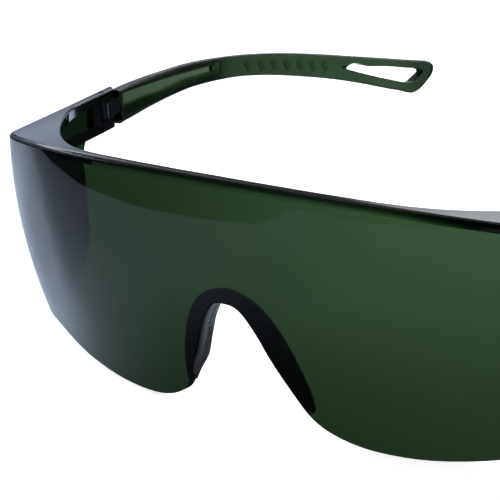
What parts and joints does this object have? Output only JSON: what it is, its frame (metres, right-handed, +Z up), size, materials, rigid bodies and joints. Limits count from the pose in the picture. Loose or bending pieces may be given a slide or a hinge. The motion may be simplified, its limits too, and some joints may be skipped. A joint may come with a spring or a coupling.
{
  "type": "welding spectacles",
  "caption": "Wraparound visor spectacles for gas welding: tinted one-piece lens with brow shelf and side shields, soft nose saddle, folding temples.",
  "frame": {"origin": "middle of the footprint on the surface the spectacles stand on (bounding box bottom centre)", "axes": "+Y from the lens back to the temple tips, +X towards the wearer's left, +Z up; standing on the two lens lobes and the two temple tips"},
  "size_m": [0.1548, 0.1624, 0.0542],
  "materials": {
    "tinted_lens": "polished polycarbonate, green welding tint",
    "nose_rubber": "satin black elastomer",
    "temple_plastic": "translucent dark green nylon, polished",
    "pin_steel": "ground stainless steel"
  },
  "bodies": {
    "front": {"visor_lens": "tinted_lens", "nose_saddle": "nose_rubber", "left_hinge_pin": "pin_steel", "right_hinge_pin": "pin_steel"},
    "left_arm": {"left_temple": "temple_plastic"},
    "right_arm": {"right_temple": "temple_plastic"}
  },
  "joints": [
    {"name": "right_temple_fold", "type": "hinge", "parent": "front", "child": "right_arm", "pos_m": [-0.07324, -0.02811, 0.03601], "axis": [0, 0.1658, 0.9862], "range_deg": [-84, 0]},
    {"name": "left_temple_fold", "type": "hinge", "parent": "front", "child": "left_arm", "pos_m": [0.07324, -0.02811, 0.03601], "axis": [0, 0.1658, 0.9862], "range_deg": [0, 76]}
  ]
}
